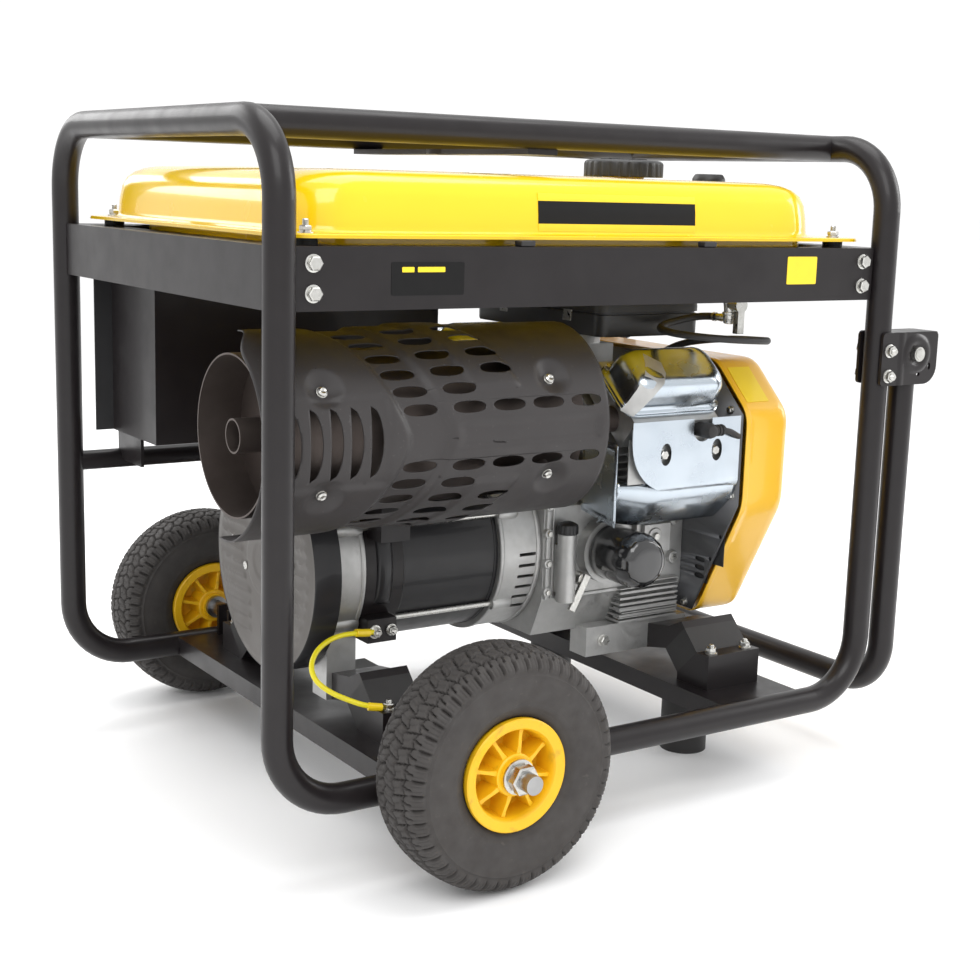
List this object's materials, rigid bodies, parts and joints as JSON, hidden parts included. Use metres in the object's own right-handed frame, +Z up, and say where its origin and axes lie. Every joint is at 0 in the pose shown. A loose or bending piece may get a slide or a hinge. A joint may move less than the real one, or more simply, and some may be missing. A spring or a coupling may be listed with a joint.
{
  "type": "portable generator",
  "caption": "Open-frame portable generator: V-twin engine, alternator, top fuel tank and muffler in a tube frame with wheels, rubber feet and a folding pull handle.",
  "frame": {"origin": "on the floor, under the middle of the whole machine", "axes": "+X from the wheel end to the handle end, +Y from the muffler side to the control panel side, +Z up"},
  "size_m": [0.914, 0.885, 0.79],
  "materials": {
    "frame_black": "satin dark brown-black powder coat",
    "tank_yellow": "gloss yellow enamel",
    "housing_yellow": "satin yellow-orange enamel",
    "plate_grey": "satin grey paint",
    "shield_brown": "matt heat-resistant paint",
    "muffler_steel": "heat-dulled steel",
    "cast_aluminium": "cast, matt",
    "zinc_sheet": "bright zinc plate",
    "zinc_bolt": "zinc plated",
    "machined_steel": "machined",
    "cast_iron": "cast",
    "stator_black": "semi-gloss black",
    "filter_black": "gloss black",
    "tyre": "block tread",
    "rubber": "matt",
    "rim_yellow": "moulded",
    "black_plastic": "fine grain",
    "red_plastic": "moulded",
    "lead_yellow": "pvc insulation"
  },
  "bodies": {
    "machine": {"near_side_tube": "frame_black", "far_side_tube": "frame_black", "cross_tubes": "frame_black", "side_beams": "frame_black", "end_beams": "frame_black", "cross_channels": "frame_black", "mounting_brackets": "frame_black", "rubber_isolators": "rubber", "rubber_feet": "rubber", "lifting_bracket": "frame_black", "fasteners": "zinc_bolt", "stub_axles": "machined_steel", "alternator_end_cover": "stator_black", "alternator_rear_bell": "cast_aluminium", "alternator_stator": "stator_black", "alternator_front_bell": "cast_aluminium", "shaft_bearings": "machined_steel", "voltage_regulator": "black_plastic", "muffler_strap": "frame_black", "crankcase": "cast_aluminium", "cylinders": "cast_aluminium", "valve_covers": "zinc_sheet", "cylinder_shrouds": "zinc_sheet", "pistons": "cast_aluminium", "blower_back_plate": "plate_grey", "blower_housing": "housing_yellow", "blower_grille": "black_plastic", "oil_filter": "filter_black", "spark_plugs": "rubber", "carburettor": "cast_aluminium", "air_filter_box": "black_plastic", "starter_motor": "stator_black", "muffler": "muffler_steel", "muffler_shield": "shield_brown", "tank_lower_shell": "tank_yellow", "tank_upper_shell": "tank_yellow", "fuel_gauge": "black_plastic", "fuel_valve_body": "cast_aluminium", "control_box": "frame_black", "control_panel": "black_plastic", "outlets": "black_plastic", "handle_brackets": "frame_black", "handle_pivot_bolts": "zinc_bolt", "earth_lead": "lead_yellow", "fuel_hose": "rubber"},
    "near_wheel": {"near_tyre": "tyre", "near_rim": "rim_yellow"},
    "far_wheel": {"far_tyre": "tyre", "far_rim": "rim_yellow"},
    "crank_train": {"crankshaft": "machined_steel", "alternator_rotor": "cast_iron", "flywheel": "cast_iron"},
    "handle": {"handle_tube": "frame_black"},
    "fuel_cap": {"fuel_cap": "black_plastic"},
    "fuel_valve": {"fuel_valve_lever": "zinc_bolt"},
    "dipstick": {"oil_dipstick": "black_plastic"},
    "key": {"ignition_key": "machined_steel"},
    "main_switch": {"main_switch": "red_plastic"},
    "choke": {"choke_knob": "black_plastic"},
    "breaker_button": {"breaker_button": "red_plastic"}
  },
  "joints": [
    {"name": "near_wheel_spin", "type": "hinge", "parent": "machine", "child": "near_wheel", "pos_m": [-0.227, -0.3725, 0.13], "axis": [0, 1, 0], "continuous": true},
    {"name": "far_wheel_spin", "type": "hinge", "parent": "machine", "child": "far_wheel", "pos_m": [-0.227, 0.3725, 0.13], "axis": [0, 1, 0], "continuous": true},
    {"name": "crank_spin", "type": "hinge", "parent": "machine", "child": "crank_train", "pos_m": [0, 0, 0.275], "axis": [1, 0, 0], "continuous": true},
    {"name": "handle_fold", "type": "hinge", "parent": "machine", "child": "handle", "pos_m": [0.419, 0, 0.528], "axis": [0, -1, 0], "range_deg": [0, 90]},
    {"name": "fuel_cap_lift", "type": "slide", "parent": "machine", "child": "fuel_cap", "axis": [0, 0, 1], "range_m": [0, 0.05]},
    {"name": "fuel_valve_turn", "type": "hinge", "parent": "machine", "child": "fuel_valve", "pos_m": [0.199, -0.235, 0.585], "axis": [0, 1, 0], "range_deg": [0, 90]},
    {"name": "dipstick_pull", "type": "slide", "parent": "machine", "child": "dipstick", "axis": [0, 0, 1], "range_m": [0, 0.09]},
    {"name": "key_turn", "type": "hinge", "parent": "machine", "child": "key", "pos_m": [-0.081, 0.253, 0.444], "axis": [0, 1, 0], "range_deg": [0, 80]},
    {"name": "main_switch_turn", "type": "hinge", "parent": "machine", "child": "main_switch", "pos_m": [-0.081, 0.253, 0.542], "axis": [0, 1, 0], "range_deg": [0, 90]},
    {"name": "choke_pull", "type": "slide", "parent": "machine", "child": "choke", "axis": [0, 1, 0], "range_m": [0, 0.02]},
    {"name": "breaker_button_press", "type": "slide", "parent": "machine", "child": "breaker_button", "axis": [0, -1, 0], "range_m": [0, 0.004], "stiffness_N_per_m": 400}
  ]
}
